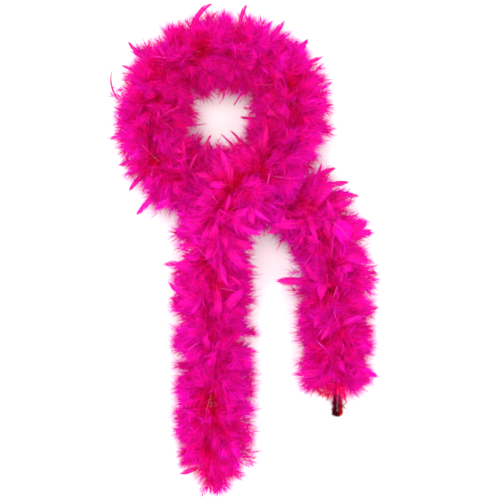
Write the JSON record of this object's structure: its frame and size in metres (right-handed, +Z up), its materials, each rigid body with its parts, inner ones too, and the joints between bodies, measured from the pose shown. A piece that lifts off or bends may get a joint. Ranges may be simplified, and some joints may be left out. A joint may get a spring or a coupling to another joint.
{
  "type": "feather boa",
  "caption": "Feather boa: dyed feather tufts bound along a twisted cord with a cord loop at each end, laid flat in a loop with its two tails side by side.",
  "frame": {"origin": "on the surface that the boa lies on, under the middle of its outline", "axes": "+Z up out of that surface, +Y from the tails towards the loop"},
  "size_m": [0.4724, 0.8509, 0.175],
  "materials": {
    "dyed_feather": "soft, hot pink, slightly glossy barbs",
    "twisted_cord": "satin twisted plies",
    "binding_thread": "satin thread"
  },
  "bodies": {
    "root": {"core_cord": "twisted_cord", "end_loop_right": "twisted_cord", "end_loop_left": "twisted_cord", "loop_whipping_right": "binding_thread", "loop_whipping_left": "binding_thread", "thread_knot_right": "binding_thread", "thread_knot_left": "binding_thread", "thread_tail_upper": "binding_thread", "thread_tail_lower": "binding_thread", "feather_tuft_01": "dyed_feather", "feather_tuft_02": "dyed_feather", "feather_tuft_03": "dyed_feather", "feather_tuft_04": "dyed_feather", "feather_tuft_05": "dyed_feather", "feather_tuft_06": "dyed_feather", "feather_tuft_07": "dyed_feather", "feather_tuft_08": "dyed_feather", "feather_tuft_09": "dyed_feather", "feather_tuft_10": "dyed_feather", "feather_tuft_11": "dyed_feather", "feather_tuft_12": "dyed_feather", "feather_tuft_13": "dyed_feather", "feather_tuft_14": "dyed_feather", "feather_tuft_15": "dyed_feather", "feather_tuft_16": "dyed_feather", "feather_tuft_17": "dyed_feather", "feather_tuft_18": "dyed_feather", "feather_tuft_19": "dyed_feather", "feather_tuft_20": "dyed_feather", "feather_tuft_21": "dyed_feather", "feather_tuft_22": "dyed_feather", "feather_tuft_23": "dyed_feather", "feather_tuft_24": "dyed_feather", "feather_tuft_25": "dyed_feather", "feather_tuft_26": "dyed_feather", "feather_tuft_27": "dyed_feather", "feather_tuft_28": "dyed_feather", "feather_tuft_29": "dyed_feather", "feather_tuft_30": "dyed_feather", "feather_tuft_31": "dyed_feather", "feather_tuft_32": "dyed_feather", "feather_tuft_33": "dyed_feather", "feather_tuft_34": "dyed_feather", "feather_tuft_35": "dyed_feather", "feather_tuft_36": "dyed_feather", "feather_tuft_37": "dyed_feather", "feather_tuft_38": "dyed_feather", "feather_tuft_39": "dyed_feather", "feather_tuft_40": "dyed_feather", "feather_tuft_41": "dyed_feather", "feather_tuft_42": "dyed_feather", "feather_tuft_43": "dyed_feather", "feather_tuft_44": "dyed_feather"}
  },
  "joints": []
}
